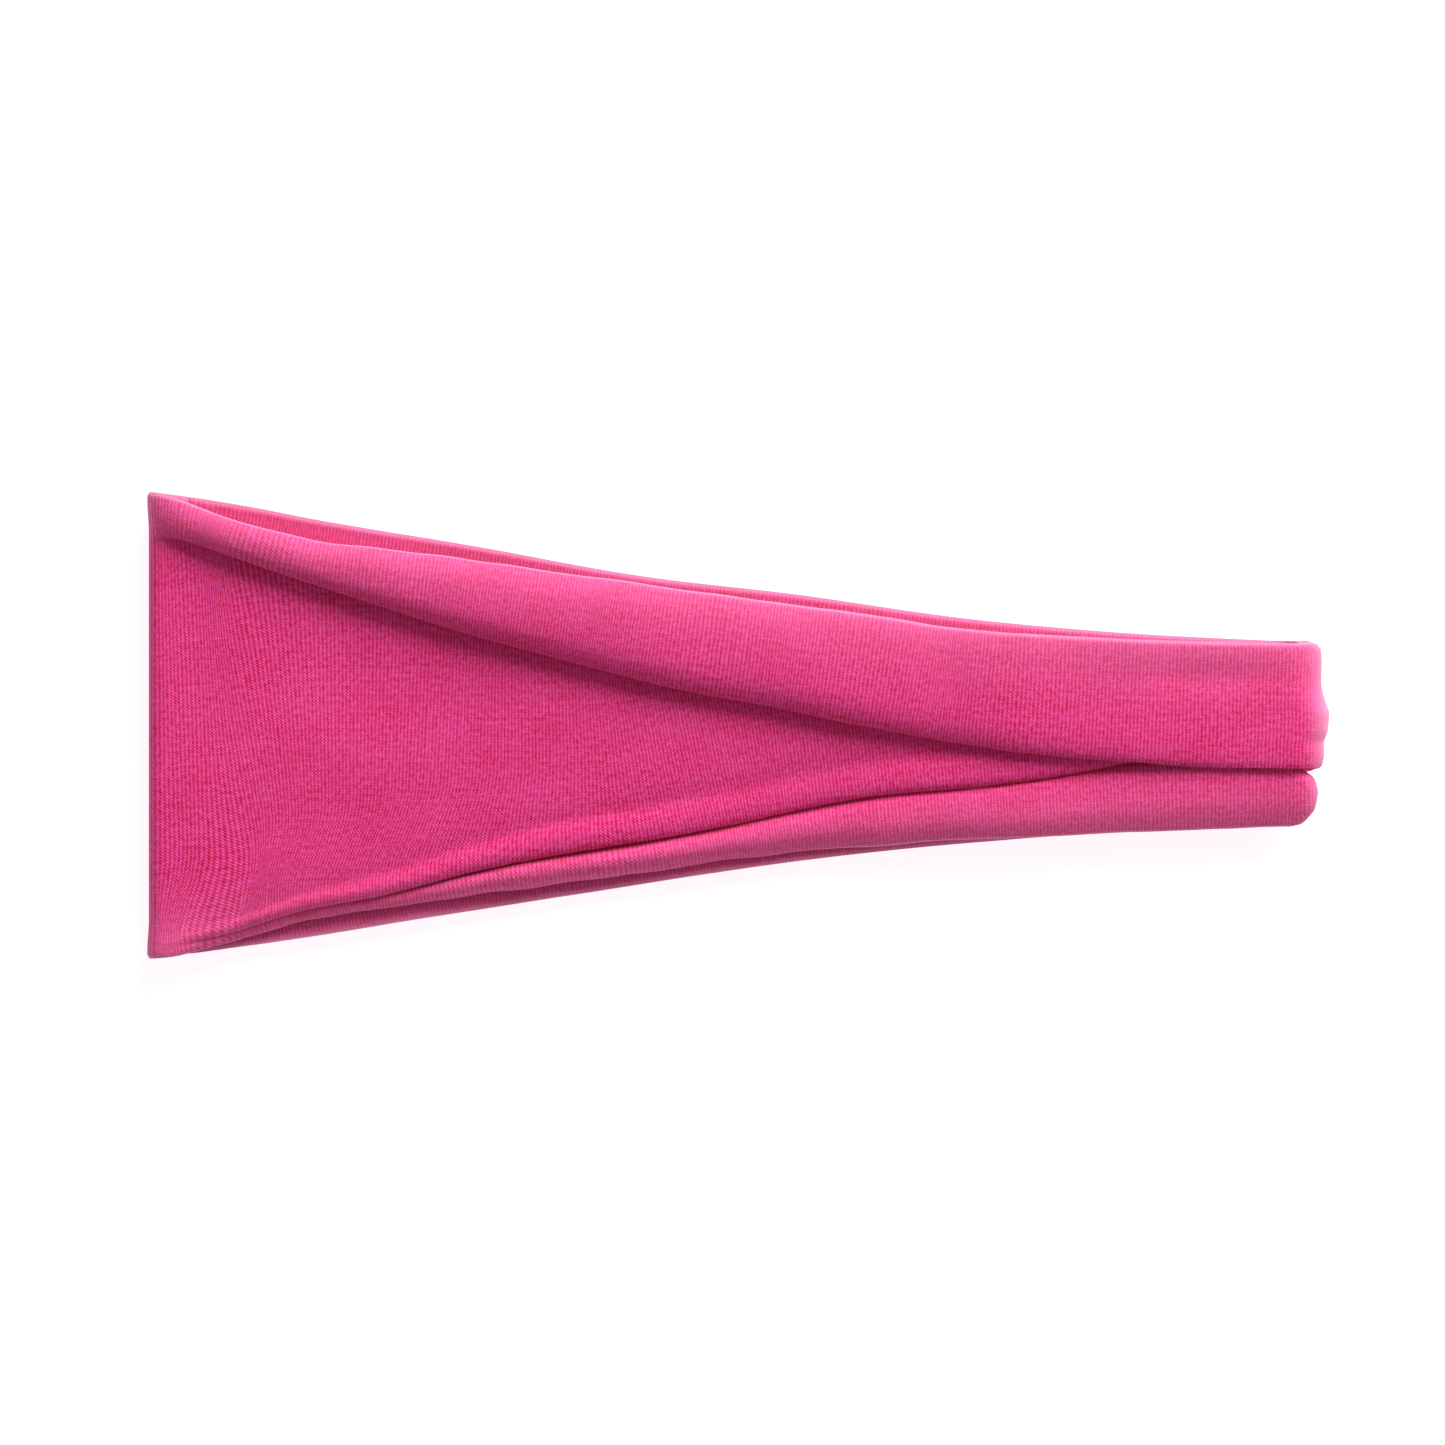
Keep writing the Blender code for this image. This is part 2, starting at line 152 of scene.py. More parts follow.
def along(points, x):
    """Read a smooth curve through (x, value) points."""
    xs, values = np.array(points, dtype=float).T
    slopes = np.gradient(values, xs)
    cell = int(np.clip(np.searchsorted(xs, x) - 1, 0, len(xs) - 2))
    span = xs[cell + 1] - xs[cell]
    part = np.clip((x - xs[cell]) / span, 0.0, 1.0)
    near_share = 2 * part**3 - 3 * part**2 + 1
    bend = (part**3 - 2 * part**2 + part) * slopes[cell] + (part**3 - part**2) * slopes[cell + 1]
    return near_share * values[cell] + (1 - near_share) * values[cell + 1] + span * bend


def hollow_height(x):
    return HOLLOW + (HOLLOW_AT_BACK - HOLLOW) * ease(*HOLLOW_CLOSES, x)


def middle_height(x):
    gaps_below = 2 + 2 * ease(*HOLLOW_CLOSES, x)
    return hollow_height(x) / 2 + BAND_THICKNESS + gaps_below * PASS_PITCH


def capped(value, most):
    """Follow value from 0 up, and bend over smoothly to stay under most."""
    return value / (1.0 + (value / most) ** 6) ** (1 / 6)


def pleat_polygon(half, x, fullness):
    """The control polygon of the band's cross-section at x, from its upper edge to its lower edge.

    Each point is (y, height above the middle of the hollow). The polygon runs down the flap, back up to the
    hidden fold, down the panel to the crease, up the tuck, and down the last pass. fullness is how far the
    flap's pleat has grown: up to 1 it rises, and from there on it deepens.
    """
    upper = along(half["upper_edge"], x)
    flap = along(half["flap_fold"], x)
    crease = along(half["crease"], x)
    lower = along(half["lower_edge"], x)

    rise = capped(fullness, 1.0)
    hidden_fold = flap + FIRST_FOLD + FLAP_TAKES / 2 * (fullness - rise) - FIRST_SLOPE * (1 - rise) ** 2
    roll_fullness = max(0.0, laid_width(x) / 2 + lower) / ROLL_TAKES
    roll_rise = capped(roll_fullness, 1.0)
    tuck = FIRST_FOLD + capped(ROLL_TAKES / 2 * (roll_fullness - roll_rise), along(half["most_tuck"], x))
    inner = crease + tuck

    rim = (SEAM_ROOM - PLY_GAP) / 2
    crowded = half is NEAR
    closing = ease(*HOLLOW_CLOSES, x)
    started = ease(*SINKS, x)
    roll = along(half["flap_roll"], x) * rise
    floor = (hollow_height(x) + BAND_THICKNESS) / 2
    pitch = TUCK_PITCH if crowded else PASS_PITCH
    sunk = floor - crowded * started * (SINK + (SINK_AT_BACK - SINK) * closing)
    tucked = sunk + (pitch + crowded * TUCK_CLEARS_SEAM * rim * (1 - ease(*TUCK_CLEARS_UNTIL, x))) * roll_rise
    rolled = tucked + pitch * roll_rise
    dip = floor - crowded * started * (1 - closing) * PANEL_DIPS
    panel_rise = ease(*PANEL_RISES, x) if crowded else closing
    panel = floor + (rolled - floor) * panel_rise
    dip = dip + (rolled - dip) * panel_rise
    under = panel + PASS_PITCH * rise
    over = under + 2 * roll
    edge = min(over, under + (PASS_PITCH + crowded * 2 * rim) * rise) - (not crowded) * rim * rise

    flap_depth = upper - flap
    return_depth = hidden_fold - flap
    round_in = min(1.4 * roll, 0.4 * return_depth)
    fold_in = min(1.2, 0.3 * return_depth)
    tuck_in = 0.3 * tuck
    roll_top = max(rolled + crowded * roll_rise * (1 - closing) * ROLL_SWELLS, dip)
    ramp = inner + RAMP_REACHES
    tuck_end = inner - TUCK_SHORTER * crowded * roll_rise
    past_crease = crease - lower
    last_top = sunk
    last_edge = sunk + rim * roll_rise
    if crowded:
        share = roll_rise * min(1.0, past_crease / LAST_PASS_WIDTH)
        last_top = sunk + (roll_top - LAST_PASS_LOWER - sunk) * share
        last_top = last_top + (under - 0.8 * PASS_PITCH - last_top) * ease(*LAST_PASS_COMES_UP, x)
        resting = -floor + BAND_THICKNESS + 2 * rim + PLY_GAP
        last_edge = last_edge + (resting - last_edge) * started
    else:
        last_edge = last_edge - FAR_EDGE_CURLS * started * (1 - closing)
    return np.array([
        (upper, edge),
        (upper - 0.10 * flap_depth, edge + 0.45 * (over - edge)),
        (upper - 0.28 * flap_depth, edge + 0.9 * (over - edge)),
        (upper - 0.48 * flap_depth, over),
        (flap + 0.30 * flap_depth, over - 0.07 * roll),
        (flap + 0.15 * flap_depth, over - 0.30 * roll),
        (flap + 0.045 * flap_depth, over - 0.85 * roll),
        (flap, over - 1.4 * roll),
        (flap, under + 0.15 * roll),
        (flap + round_in, under),
        (flap + 0.6 * return_depth, under),
        (hidden_fold - fold_in, under),
        (hidden_fold, under),
        (hidden_fold, panel),
        (hidden_fold - fold_in, panel),
        (hidden_fold + 0.33 * (ramp - hidden_fold), panel),
        (hidden_fold + 0.66 * (ramp - hidden_fold), panel - 0.08 * (panel - dip)),
        (ramp, dip + 0.7 * (panel - dip)),
        (inner + 1.2, dip),
        (inner - 0.3, dip + 0.25 * (roll_top - dip)),
        (inner - tuck_in, roll_top),
        (crease + 1.2 * tuck_in, roll_top),
        (crease, rolled),
        (crease, tucked),
        (crease + tuck_in, tucked),
        (tuck_end - tuck_in, tucked),
        (tuck_end, tucked),
        (tuck_end, sunk),
        (tuck_end - tuck_in, sunk),
        (crease - min(0.2, 0.05 * past_crease), sunk),
        (crease - min(1.3, 0.25 * past_crease), sunk + 0.5 * (last_top - sunk)),
        (crease - min(1.9, 0.35 * past_crease), last_top - 0.1 * (last_top - sunk)),
        (crease - 0.50 * past_crease, last_top),
        (crease - 0.72 * past_crease, last_top - 0.15 * (last_top - last_edge)),
        (lower + 0.10 * past_crease, last_edge + 0.3 * (last_top - last_edge)),
        (lower, last_edge),
    ])


def spline(polygon, places):
    """A cubic B-spline through both ends of a polygon, read at places from 0 to 1."""
    points = np.vstack([2 * polygon[0] - polygon[1], polygon, 2 * polygon[-1] - polygon[-2]])
    spans = len(points) - 3
    scaled = np.clip(places * spans, 0.0, spans - 1e-9)
    cell = scaled.astype(int)
    part = (scaled - cell)[:, None]
    weights = [
        (1 - part) ** 3 / 6,
        (3 * part**3 - 6 * part**2 + 4) / 6,
        (-3 * part**3 + 3 * part**2 + 3 * part + 1) / 6,
        part**3 / 6,
    ]
    return sum(weight * points[cell + offset] for offset, weight in enumerate(weights))


STIFFNESS = 0.6
CLOTH_STEP = 0.1


def cloth_curve(polygon):
    """Points every 0.1 mm of the cross-section, its bends spread along the cloth by the cloth's stiffness."""
    rough = spline(polygon, np.linspace(0.0, 1.0, 601))
    run = np.concatenate([[0.0], np.cumsum(np.linalg.norm(np.diff(rough, axis=0), axis=1))])
    even = np.linspace(0.0, run[-1], int(run[-1] / CLOTH_STEP))
    curve = np.stack([np.interp(even, run, rough[:, axis]) for axis in (0, 1)], axis=1)
    reach = int(round(3 * STIFFNESS / CLOTH_STEP))
    kernel = np.exp(-0.5 * (np.arange(-reach, reach + 1) * CLOTH_STEP / STIFFNESS) ** 2)
    kernel /= kernel.sum()
    before = 2 * curve[0] - curve[reach:0:-1]
    after = 2 * curve[-1] - curve[-2:-reach - 2:-1]
    padded = np.vstack([before, curve, after])
    return np.stack([np.convolve(padded[:, axis], kernel, mode="valid") for axis in (0, 1)], axis=1)


def cloth_run(curve):
    return np.concatenate([[0.0], np.cumsum(np.linalg.norm(np.diff(curve, axis=0), axis=1))])


LEFT_DRAWN_IN = 1.0
LEFT_DRAWN_IN_UNTIL = (-120, -106)


def laid_width(x):
    """The cloth's width along the cross-section. At the left fold it is drawn in a little."""
    return BAND_WIDTH - LEFT_DRAWN_IN * (1 - ease(*LEFT_DRAWN_IN_UNTIL, x))


def solve_fullness(half, x):
    """Grow the flap's pleat until the pleated cross-section is as long as the cloth is wide."""
    low = 0.0
    high = 8.0
    for _ in range(16):
        middle = (low + high) / 2
        if cloth_run(cloth_curve(pleat_polygon(half, x, middle)))[-1] < laid_width(x):
            low = middle
        else:
            high = middle
    return (low + high) / 2


FOLD_STATIONS = np.concatenate([np.linspace(-120, -84, 13), np.linspace(-76, 116, 20)])
for half in (NEAR, FAR):
    half["fullness"] = [(x, solve_fullness(half, x)) for x in FOLD_STATIONS]

# The rows of the strip: every half millimetre of cloth, closer together at the sewn edges.
EDGE_ROWS = np.array([0.0, 0.12, 0.28, 0.5, 0.8, 1.2, 1.65])
MIDDLE_ROWS = np.linspace(2.15, BAND_WIDTH - 2.15, 168)
ROWS = np.concatenate([EDGE_ROWS, MIDDLE_ROWS, BAND_WIDTH - EDGE_ROWS[::-1]])


def lie_of(half, x):
    """The (y, height) of every row of the strip at x."""
    curve = cloth_curve(pleat_polygon(half, x, along(half["fullness"], x)))
    run = cloth_run(curve)
    return np.stack([np.interp(ROWS * run[-1] / BAND_WIDTH, run, curve[:, axis]) for axis in (0, 1)], axis=1)


# Round the right end, the flap's fold line waves in and out, and the last pass comes out past the flap, where
# nothing covers it.
FLAP_REACH = [
    (-22.0, 1.6), (-9.5, 1.1), (-6.0, 1.2), (-3.5, 0.8), (-1.0, 1.6), (2.5, 1.8), (5.5, 0.7), (8.0, 0.2),
    (13.0, 0.3), (15.4, 0.2), (17.0, -1.6),
]
LAST_PASS_REACH = [
    (-20.6, 0.3), (-19.0, 2.4), (-17.0, 3.7), (-13.5, 4.0), (-11.0, 3.2), (-9.0, 0.6), (-7.0, 0.0),
]
LAST_PASS_FROM = BAND_WIDTH - 18.0
REACH_CHANGES = 5.0
REACH_BUILDS = (0.88, 1.0)


def right_reach(y):
    flap = np.interp(y, *np.array(FLAP_REACH).T)
    last_pass = np.interp(y, *np.array(LAST_PASS_REACH).T)
    return flap + (last_pass - flap) * ease(LAST_PASS_FROM, LAST_PASS_FROM + REACH_CHANGES, ROWS)


def band_points(turn):
    """The band's middle surface at one station of the loop.

    turn counts round the loop: 0 to 1 is the left turn from far to near, 1 to 2 the near half, 2 to 3 the
    right turn, and 3 to 4 the far half.
    """
    turn = turn % 4
    if turn < 1 or 2 <= turn < 3:
        at_right = turn >= 2
        angle = math.pi * ((turn - 2) if at_right else (1 - turn))
        x = RIGHT_X if at_right else LEFT_X - LEFT_TURN * math.sin(angle)
        near = lie_of(NEAR, x)
        far = lie_of(FAR, x)
        share = (1 - math.cos(angle)) / 2
        y, height = (near * (1 - share) + far * share).T
        xs = np.full(len(y), x)
        if at_right:
            xs = x + right_reach(y) + height * math.sin(angle)
        return np.stack([xs, y, middle_height(x) + height * math.cos(angle)], axis=1)
    on_near = turn < 2
    share = turn - 1 if on_near else 4 - turn
    x = LEFT_X + (RIGHT_X - LEFT_X) * share
    y, height = lie_of(NEAR if on_near else FAR, x).T
    side = 1 if on_near else -1
    xs = x + right_reach(y) * ease(*REACH_BUILDS, share)
    return np.stack([xs, y, middle_height(x) + side * height], axis=1)


def seam_turn(x):
    return 4 - (x - LEFT_X) / (RIGHT_X - LEFT_X)


# Stations round the loop, from one side of the end seam to the other: close together in the turns and by the
# seam.
SEAM_STEPS = np.array([0.03, 0.2, 0.45, 0.8, 1.4, 2.3, 3.6])
STATIONS = np.concatenate([
    seam_turn(SEAM_X - SEAM_STEPS) - 4,
    np.linspace(0.0, 1.0, 15),
    np.linspace(1.0, 2.0, 128)[1:],
    np.linspace(2.0, 3.0, 24)[1:],
    np.linspace(3.0, seam_turn(SEAM_X + 5.0), 60)[1:],
    seam_turn(SEAM_X + SEAM_STEPS[::-1]),
])
surface = np.array([band_points(turn) for turn in STATIONS])


def tangents(points):
    """Unit directions round the loop and across the band, and the normals out of the loop."""
    round_loop = np.gradient(points, axis=0)
    across = np.gradient(points, ROWS, axis=1)
    normals = np.cross(across, round_loop)
    normals /= np.linalg.norm(normals, axis=2)[:, :, None]
    return round_loop, across, normals


# The seams gather the cloth a little, so it puckers along both edges, and the laid cloth undulates.
PUCKER = 0.22
PUCKER_PITCH = 9.0
PUCKER_DEPTH = 7.0
PUCKER_SPREAD = 40.0
UNDULATION = 0.18
UNDULATION_LENGTH = 31.0
UNDULATION_DEPTH = 17.0
TAUT_AT_LEFT = 8.0

# A shallow hollow runs along the flap near the right end.
HOLLOW_ALONG_FLAP = 0.5
HOLLOW_CENTRE = (97.0, 9.6)
HOLLOW_REACH = (14.0, 3.6)
FLAP_DEPTH = 20.0

loop_run = np.concatenate([[0.0], np.cumsum(np.linalg.norm(np.diff(surface, axis=0), axis=2).mean(axis=1))])
from_edge = np.minimum(ROWS, BAND_WIDTH - ROWS)


def relief():
    """How far every point of the cloth stands off its smooth lie."""
    heights = np.zeros(surface.shape[:2])
    for station, run in enumerate(loop_run):
        held = ease(LEFT_X - 1.0, LEFT_X + TAUT_AT_LEFT, surface[station, :, 0].mean())
        for row, depth in enumerate(ROWS):
            pucker = noise.noise(Vector((run / PUCKER_PITCH, depth / PUCKER_SPREAD, 3.7)))
            swell = noise.noise(Vector((run / UNDULATION_LENGTH, depth / UNDULATION_DEPTH, 8.2)))
            edge = math.exp(-((from_edge[row] / PUCKER_DEPTH) ** 2))
            heights[station, row] = held * 2 * (PUCKER * edge * pucker + UNDULATION * swell)
    x, y = surface[:, :, 0], surface[:, :, 1]
    on_flap = ((STATIONS > 1) & (STATIONS < 2))[:, None] & (ROWS < FLAP_DEPTH)[None, :]
    along_flap = ((x - HOLLOW_CENTRE[0]) / HOLLOW_REACH[0]) ** 2
    across_flap = ((y - HOLLOW_CENTRE[1]) / HOLLOW_REACH[1]) ** 2
    heights -= on_flap * HOLLOW_ALONG_FLAP * np.exp(-along_flap - across_flap)
    return heights


surface = surface + tangents(surface)[2] * relief()[:, :, None]
round_loop, across, normals = tangents(surface)


# The knit's gauge: how wide a wale is along the near half's panel, which the left fold stretches, and how
# high a course is. Above the crease the laid cloth is dragged, so that its wales lean. Beside the left fold
# they run straight, and from the right end of the near half each row counts its wales along its own length.
WALE_WIDTHS = [(-120, 0.86), (-106, 0.82), (-82, 0.74), (-52, 0.70), (0, 0.72), (118, 0.75)]
COURSE = 0.61
PANEL_ROW = 55.0
DRAG = 0.36
DRAG_DEPTH = (3.0, 9.0, 13.0, 24.0)
DRAG_STARTS = (-119, -112)
DRAG_ENDS = (-75, -20)
STRAIGHT_UNTIL = (-119, -101)
OWN_COUNT_FROM = 1.94
OWN_COUNT_ENDS = (2.5, 3.2)


def dragged(station):
    """How far each row of a near station is dragged along the loop, per length of cloth."""
    y = surface[station, :, 1]
    low_rows = np.where((ROWS > PANEL_ROW) & (np.gradient(y, ROWS) > 0))[0]
    crease_row = ROWS[low_rows[0]] if len(low_rows) else BAND_WIDTH
    above = crease_row - ROWS
    start, full, fades, ends = DRAG_DEPTH
    x = surface[station, :, 0]
    shape = ease(start, full, above) * (1 - ease(fades, ends, above))
    return -DRAG * shape * ease(*DRAG_STARTS, x) * (1 - ease(*DRAG_ENDS, x))


def trace_wales():
    """The number of the wale through every point, with the wales square to the courses but for the drag."""
    drift = -(round_loop * across).sum(axis=2) / (round_loop * round_loop).sum(axis=2)
    drift *= ease(*STRAIGHT_UNTIL, surface[:, :, 0])
    near = [index for index, turn in enumerate(STATIONS) if 1 <= turn <= 2]
    for station in near:
        spacing = np.linalg.norm(round_loop[station], axis=1)
        drift[station] += dragged(station) / spacing
    first = int(np.searchsorted(ROWS, PANEL_ROW))
    panel = surface[:, first]
    widths = np.where(
        (STATIONS > 0.5) & (STATIONS < 2.5),
        np.interp(panel[:, 0], *np.array(WALE_WIDTHS).T),
        WALE_WIDTHS[-1][1],
    )
    steps = np.linalg.norm(np.diff(panel, axis=0), axis=1) / ((widths[1:] + widths[:-1]) / 2)
    count = np.concatenate([[0.0], np.cumsum(steps)])
    stations = np.arange(len(STATIONS), dtype=float)
    wales = np.zeros(surface.shape[:2])
    wales[:, first] = count
    for step in (-1, 1):
        line = stations.copy()
        row = first
        while 0 <= row + step < len(ROWS):
            gap = ROWS[row + step] - ROWS[row]
            line = line + gap * np.interp(line, stations, drift[:, row])
            row += step
            wales[:, row] = np.interp(stations, line, count)
    own_steps = np.linalg.norm(np.diff(surface, axis=0), axis=2) / WALE_WIDTHS[-1][1]
    own_count = np.concatenate([np.zeros((1, len(ROWS))), np.cumsum(own_steps, axis=0)])
    turns_at = int(np.searchsorted(STATIONS, OWN_COUNT_FROM))
    own = wales[turns_at] + own_count - own_count[turns_at]
    keeps_own = ((STATIONS >= OWN_COUNT_FROM) * (1 - ease(*OWN_COUNT_ENDS, STATIONS)))[:, None]
    return wales + (own - wales) * keeps_own


wales = trace_wales()


# The seams between the plies swell them a little. Along both edges and at the end seam, the plies turn in to
# meet.
EDGE_SWELLS = (0.0, 0.8)
EDGE_SUBSIDES = (1.6, 8.0)
END_SUBSIDES = (1.3, 5.0)
TURNS_IN = 0.8
MEETING = PLY / 2 + 0.03

from_seam = np.abs(surface[:, 0, 0] - SEAM_X)
from_seam[(STATIONS > 0) & (STATIONS < 3)] = LOOP_LENGTH
at_edges = ease(*EDGE_SWELLS, from_edge) * (1 - ease(*EDGE_SUBSIDES, from_edge))
at_seam = ease(*EDGE_SWELLS, from_seam) * (1 - ease(*END_SUBSIDES, from_seam))
swelling = np.maximum(at_edges[None, :], at_seam[:, None])
turned_in = ease(-0.2, TURNS_IN, from_edge)[None, :] * ease(-0.1, TURNS_IN, from_seam)[:, None]
from_middle = (PLY + PLY_GAP) / 2 + (SEAM_ROOM - PLY_GAP) / 2 * swelling
from_middle = MEETING + (from_middle - MEETING) * turned_in


def flat_strip(name, steps_along, steps_across):
    """A flat strip of cloth or thread, and the step along it and across it of every one of its points."""
    bpy.ops.object.select_all(action="DESELECT")
    bpy.ops.mesh.primitive_grid_add(x_subdivisions=steps_along - 1, y_subdivisions=steps_across - 1, size=1)
    piece = bpy.context.object
    piece.name = name
    piece.data.name = name
    places = np.zeros(len(piece.data.vertices) * 3)
    piece.data.vertices.foreach_get("co", places)
    places = places.reshape(-1, 3)
    step_along = np.rint((0.5 + places[:, 0]) * (steps_along - 1)).astype(int)
    step_across = np.rint((0.5 - places[:, 1]) * (steps_across - 1)).astype(int)
    return piece, step_along, step_across


def lay_strip(piece, places, map_name, map_places):
    """Lay a flat strip's points at their places, in millimetres, and write the map its material reads."""
    mesh = piece.data
    mesh.vertices.foreach_set("co", (places * MM).ravel())
    corner_vertex = np.zeros(len(mesh.loops), dtype=int)
    mesh.loops.foreach_get("vertex_index", corner_vertex)
    mesh.uv_layers[0].name = map_name
    mesh.uv_layers[0].data.foreach_set("uv", map_places[corner_vertex].ravel())
    mesh.update()


def lay_ply(name, side):
    """One ply of the band: a flat strip of cloth, laid into its folds, given its thickness."""
    laid = surface + side * from_middle[:, :, None] * normals
    laid[:, :, 2] = np.maximum(laid[:, :, 2], PLY / 2)
    piece, station, row = flat_strip(name, len(STATIONS), len(ROWS))
    stitches = np.stack([wales[station, row], ROWS[row] / COURSE], axis=1)
    lay_strip(piece, laid[station, row], "stitches", stitches)

    bpy.ops.object.modifier_add(type="SOLIDIFY")
    piece.modifiers[0].thickness = PLY * MM
    piece.modifiers[0].offset = 0.0
    bpy.ops.object.modifier_apply(modifier=piece.modifiers[0].name)
    bpy.ops.object.mode_set(mode="EDIT")
    bpy.ops.mesh.select_all(action="SELECT")
    bpy.ops.mesh.normals_make_consistent(inside=False)
    bpy.ops.object.mode_set(mode="OBJECT")
    bpy.ops.object.shade_smooth_by_angle(angle=math.radians(60))
    return piece


class Graph:
    """A small writer of material nodes: each call adds one node and returns its output."""

    def __init__(self, name):
        self.material = bpy.data.materials.new(name)
        self.material.use_nodes = True
        self.tree = self.material.node_tree
        self.shader = self.tree.nodes["Principled BSDF"]

    def wire(self, value, socket):
        if isinstance(value, bpy.types.NodeSocket):
            self.tree.links.new(value, socket)
        else:
            socket.default_value = value

    def math(self, operation, first, second=0.0, third=0.0, clamp=False):
        node = self.tree.nodes.new("ShaderNodeMath")
        node.operation = operation
        node.use_clamp = clamp
        for value, socket in zip((first, second, third), node.inputs):
            self.wire(value, socket)
        return node.outputs[0]

    def add(self, kind, output, **inputs):
        node = self.tree.nodes.new(kind)
        for socket, value in inputs.items():
            self.wire(value, node.inputs[socket.replace("_", " ")])
        return node.outputs[output]

    def mix(self, share, first, second):
        node = self.tree.nodes.new("ShaderNodeMix")
        node.data_type = "RGBA"
        self.wire(share, node.inputs["Factor"])
        self.wire(first, node.inputs[6])
        self.wire(second, node.inputs[7])
        return node.outputs[2]


# The stitch: how strongly its ribs, its two legs and its head stand out, and how far the yarn wanders. A
# painted sheen pales the sewn edges, counted in courses from them, a painted highlight pales a wider band
# beside them, and a painted sheen pales both end folds.
RIB = 0.23
LEFT_LEG = 0.17
RIGHT_LEG = 0.07
HEAD = 0.03
WANDER = 0.18
STITCH_RELIEF = 0.2
PAINTED_EDGE_SHEEN_COURSES = 1.6
PAINTED_EDGE_SHEEN = 0.4
PAINTED_LIGHT_COURSES = 32.0
PAINTED_LIGHT_PALER = 0.15
RIGHT_PAINTED_SHEEN_FROM = 114.0
LEFT_PAINTED_SHEEN_FROM = -117.0
PAINTED_SHEEN_GROWS = 6.0
PAINTED_SHEEN_AT_FOLDS = 0.6


def jersey(name, lit, shaded, painted_sheen):
    """Single jersey, one unit of its map to a stitch.

    Ribs along the wales are crossed by the lean of the stitches' legs, in a yarn that is thick and thin, whose
    uneven tone also shifts the colour. The lit colour is painted on top of the stitches, as painted light, the
    shaded colour between them, as painted shade, and the pale colour is that of a painted sheen and painted
    highlight along the sewn edges and over both end folds.
    """
    graph = Graph(name)
    stitches = graph.tree.nodes.new("ShaderNodeUVMap")
    stitches.uv_map = "stitches"
    parts = graph.tree.nodes.new("ShaderNodeSeparateXYZ")
    graph.wire(stitches.outputs[0], parts.inputs[0])

    wander = graph.add("ShaderNodeTexNoise", "Fac", Vector=stitches.outputs[0], Scale=0.3, Detail=2.0)
    uneven = graph.math("MULTIPLY_ADD", wander, 2 * WANDER, -WANDER)
    wale = graph.math("ADD", parts.outputs["X"], uneven)
    course = graph.math("MULTIPLY_ADD", uneven, -0.8, parts.outputs["Y"])

    def wave(turns, size):
        return graph.math("MULTIPLY", graph.math("COSINE", graph.math("MULTIPLY", turns, 2 * math.pi)), size)

    rib = wave(wale, RIB)
    left_leg = wave(graph.math("SUBTRACT", wale, course), LEFT_LEG)
    right_leg = wave(graph.math("ADD", wale, course), RIGHT_LEG)
    head = wave(course, HEAD)
    height = graph.math("ADD", graph.math("ADD", rib, left_leg), graph.math("ADD", right_leg, head))
    height = graph.math("ADD", height, 0.5, clamp=True)

    grain = graph.add("ShaderNodeTexNoise", "Fac", Vector=stitches.outputs[0], Scale=0.75, Detail=1.0)
    stretched = graph.tree.nodes.new("ShaderNodeMapping")
    stretched.inputs["Scale"].default_value = (0.06, 0.8, 1.0)
    graph.wire(stitches.outputs[0], stretched.inputs[0])
    slub = graph.add("ShaderNodeTexNoise", "Fac", Vector=stretched.outputs[0], Scale=1.0, Detail=2.0)
    patch = graph.add("ShaderNodeTexNoise", "Fac", Vector=stitches.outputs[0], Scale=0.06, Detail=3.0)

    # Painted light and shade of the knit's relief: the stitches' tops are painted lighter and the gaps between
    # them darker. The grain, the slubs and the patches are the yarn's own uneven tone.
    light = graph.math("MULTIPLY_ADD", height, 1.1, -0.62)
    light = graph.math("ADD", light, grain)
    light = graph.math("MULTIPLY_ADD", graph.math("SUBTRACT", slub, 0.5), 0.4, light)
    light = graph.math("MULTIPLY_ADD", graph.math("SUBTRACT", patch, 0.5), 0.3, light, clamp=True)
    knit = graph.mix(light, (*shaded, 1.0), (*lit, 1.0))

    # A painted sheen pales both sewn edges over their first courses.
    upper_edge = parts.outputs["Y"]
    lower_edge = graph.math("SUBTRACT", BAND_WIDTH / COURSE, upper_edge)
    from_seam = graph.math("MINIMUM", upper_edge, lower_edge)
    painted_edge_sheen = graph.math("SUBTRACT", 1.0, graph.math("DIVIDE", from_seam, PAINTED_EDGE_SHEEN_COURSES), clamp=True)
    # A painted highlight pales a wider band beside both sewn edges, fading over its courses.
    painted_light_edge = graph.math("DIVIDE", from_seam, PAINTED_LIGHT_COURSES)
    painted_light_edge = graph.math("SUBTRACT", 1.0, painted_light_edge, clamp=True)
    painted_light_share = graph.math("MULTIPLY", graph.math("MULTIPLY", painted_light_edge, painted_light_edge), PAINTED_LIGHT_PALER)
    painted_light_share = graph.math("MULTIPLY_ADD", painted_edge_sheen, PAINTED_EDGE_SHEEN, painted_light_share)
    # A painted sheen pales both end folds, growing past where each fold begins to turn.
    place = graph.tree.nodes.new("ShaderNodeTexCoord")
    along_band = graph.tree.nodes.new("ShaderNodeSeparateXYZ")
    graph.wire(place.outputs["Object"], along_band.inputs[0])
    at_right = graph.math("SUBTRACT", along_band.outputs["X"], RIGHT_PAINTED_SHEEN_FROM * MM)
    at_left = graph.math("SUBTRACT", LEFT_PAINTED_SHEEN_FROM * MM, along_band.outputs["X"])
    past_fold = graph.math("MAXIMUM", at_right, at_left)
    fold_sheen = graph.math("MULTIPLY", past_fold, 1 / (PAINTED_SHEEN_GROWS * MM), clamp=True)
    painted_light_share = graph.math("MULTIPLY_ADD", graph.math("MULTIPLY", fold_sheen, fold_sheen), PAINTED_SHEEN_AT_FOLDS, painted_light_share)
